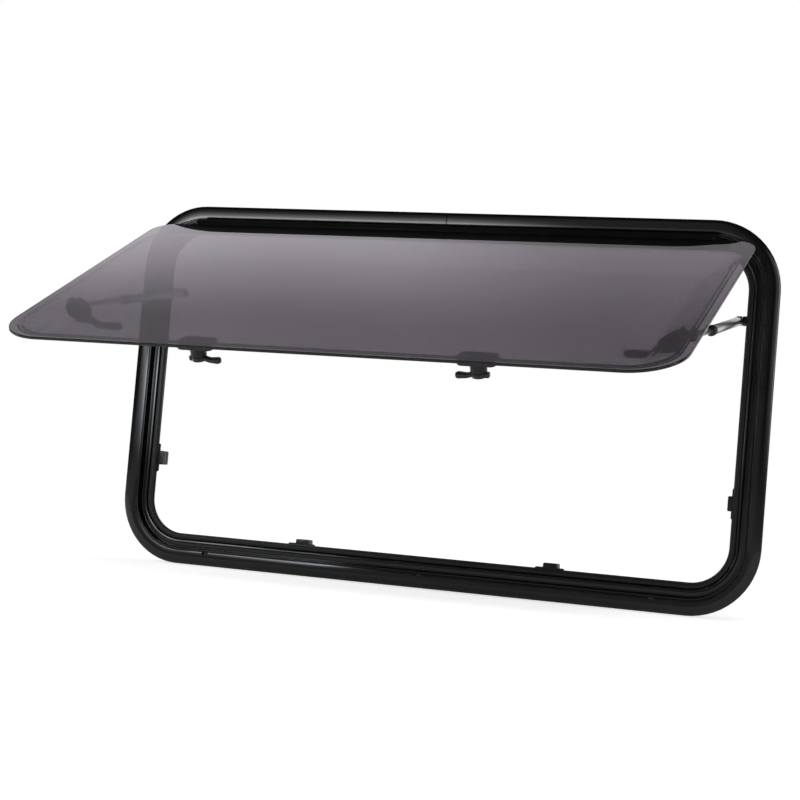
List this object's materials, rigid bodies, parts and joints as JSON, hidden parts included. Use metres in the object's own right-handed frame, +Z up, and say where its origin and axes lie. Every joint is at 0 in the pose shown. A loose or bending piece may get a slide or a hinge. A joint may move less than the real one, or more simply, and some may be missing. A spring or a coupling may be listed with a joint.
{
  "type": "caravan window",
  "caption": "Top-hung caravan window: black framed ring with a smoked double-skin acrylic sash held open on telescopic stays, with turn latches and catches.",
  "frame": {"origin": "middle of the top rail, on the flange's back face where it meets the caravan's outer skin", "axes": "+X along the window to the right seen from outside, +Y into the caravan, +Z up"},
  "size_m": [1, 0.4967, 0.558],
  "materials": {
    "frame_black": "gloss black powder coat",
    "seal_rubber": "matt",
    "fitting_black": "fine grain",
    "lever_black": "satin",
    "acrylic_outer": "smoked, polished",
    "acrylic_inner": "clear, polished",
    "stay_silver": "satin anodised",
    "rod_steel": "bright"
  },
  "bodies": {
    "frame": {"frame_ring": "frame_black", "frame_seal": "seal_rubber", "hinge_rail": "frame_black", "catch_bottom_left": "fitting_black", "catch_bottom_right": "fitting_black", "catch_side_left": "fitting_black", "catch_side_right": "fitting_black", "stay_bracket_left": "fitting_black", "stay_bracket_right": "fitting_black"},
    "sash": {"outer_sheet": "acrylic_outer", "inner_sheet": "acrylic_inner", "sash_hinge_profile": "frame_black", "latch_plate_left": "fitting_black", "latch_plate_right": "fitting_black", "stay_head_left": "fitting_black", "stay_head_right": "fitting_black"},
    "latch_lever_left": {"latch_lever_left": "lever_black"},
    "latch_lever_right": {"latch_lever_right": "lever_black"},
    "side_lever_left": {"side_lever_left": "lever_black"},
    "side_lever_right": {"side_lever_right": "lever_black"},
    "stay_tube_left": {"stay_tube_left": "stay_silver", "stay_ferrule_left": "fitting_black"},
    "stay_tube_right": {"stay_tube_right": "stay_silver", "stay_ferrule_right": "fitting_black"},
    "stay_rod_left": {"stay_rod_left": "rod_steel"},
    "stay_rod_right": {"stay_rod_right": "rod_steel"}
  },
  "joints": [
    {"name": "sash_hinge", "type": "hinge", "parent": "frame", "child": "sash", "pos_m": [0, -0.021, -0.018], "axis": [-1, 0, 0], "range_deg": [-63, 0]},
    {"name": "stay_left_pivot", "type": "hinge", "parent": "frame", "child": "stay_tube_left", "pos_m": [-0.441, 0.022, -0.127], "axis": [-1, 0, 0], "range_deg": [-76, 0]},
    {"name": "stay_left_slide", "type": "slide", "parent": "stay_tube_left", "child": "stay_rod_left", "axis": [0, -0.983, -0.1836], "range_m": [-0.112, 0]},
    {"name": "stay_right_pivot", "type": "hinge", "parent": "frame", "child": "stay_tube_right", "pos_m": [0.441, 0.022, -0.127], "axis": [-1, 0, 0], "range_deg": [-76, 0]},
    {"name": "stay_right_slide", "type": "slide", "parent": "stay_tube_right", "child": "stay_rod_right", "axis": [0, -0.983, -0.1836], "range_m": [-0.112, 0]},
    {"name": "latch_left_turn", "type": "hinge", "parent": "sash", "child": "latch_lever_left", "pos_m": [-0.197, -0.377, -0.25326], "axis": [0, -0.454, 0.891], "range_deg": [0, 90]},
    {"name": "latch_right_turn", "type": "hinge", "parent": "sash", "child": "latch_lever_right", "pos_m": [0.197, -0.377, -0.25326], "axis": [0, 0.454, -0.891], "range_deg": [0, 90]},
    {"name": "side_latch_left_turn", "type": "hinge", "parent": "sash", "child": "side_lever_left", "pos_m": [-0.42, -0.30037, -0.21422], "axis": [0, 0.454, -0.891], "range_deg": [0, 90]},
    {"name": "side_latch_right_turn", "type": "hinge", "parent": "sash", "child": "side_lever_right", "pos_m": [0.42, -0.30037, -0.21422], "axis": [0, -0.454, 0.891], "range_deg": [0, 90]}
  ],
  "couplings": [
    {"joint": "stay_left_pivot", "follows": "sash_hinge", "ratio": 1.1935},
    {"joint": "stay_left_slide", "follows": "sash_hinge", "m_per_rad": 0.1001},
    {"joint": "stay_right_pivot", "follows": "sash_hinge", "ratio": 1.1935},
    {"joint": "stay_right_slide", "follows": "sash_hinge", "m_per_rad": 0.1001}
  ]
}
